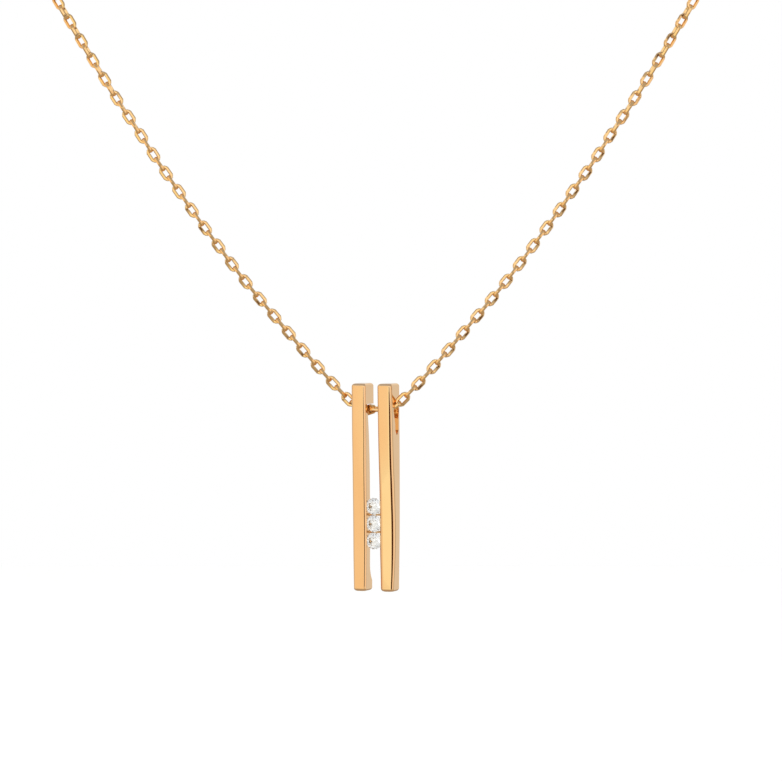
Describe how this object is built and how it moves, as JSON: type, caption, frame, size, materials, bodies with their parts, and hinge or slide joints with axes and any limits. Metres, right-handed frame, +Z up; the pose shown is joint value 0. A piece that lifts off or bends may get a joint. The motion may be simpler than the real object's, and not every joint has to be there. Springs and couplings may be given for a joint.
{
  "type": "three-stone pendant necklace",
  "caption": "Pendant of slim parallel gold bars that hold a vertical row of round stones, hanging free on a fine cable chain that closes with a plain ring clasp.",
  "frame": {"origin": "at the nape of the neck, in the middle of the clasp ring, where the necklace hangs", "axes": "+Z up, -Y to the front where the pendant hangs, +X to the right seen from the front"},
  "size_m": [0.109, 0.1074, 0.1388],
  "materials": {
    "gold_bars": "polished warm yellow gold, hand-polished flat faces with soft edges",
    "gold_chain": "polished warm yellow gold wire",
    "stones": "clear faceted colourless stone"
  },
  "bodies": {
    "necklace": {"chain": "gold_chain", "clasp": "gold_chain"},
    "pendant": {"bar_frame": "gold_bars", "stone_top": "stones", "stone_middle": "stones", "stone_bottom": "stones"}
  },
  "joints": [
    {"name": "pendant_swing", "type": "hinge", "parent": "necklace", "child": "pendant", "pos_m": [0, -0.105, -0.11845], "axis": [0.9135, -0.4067, 0], "range_deg": [-80, 80]}
  ]
}
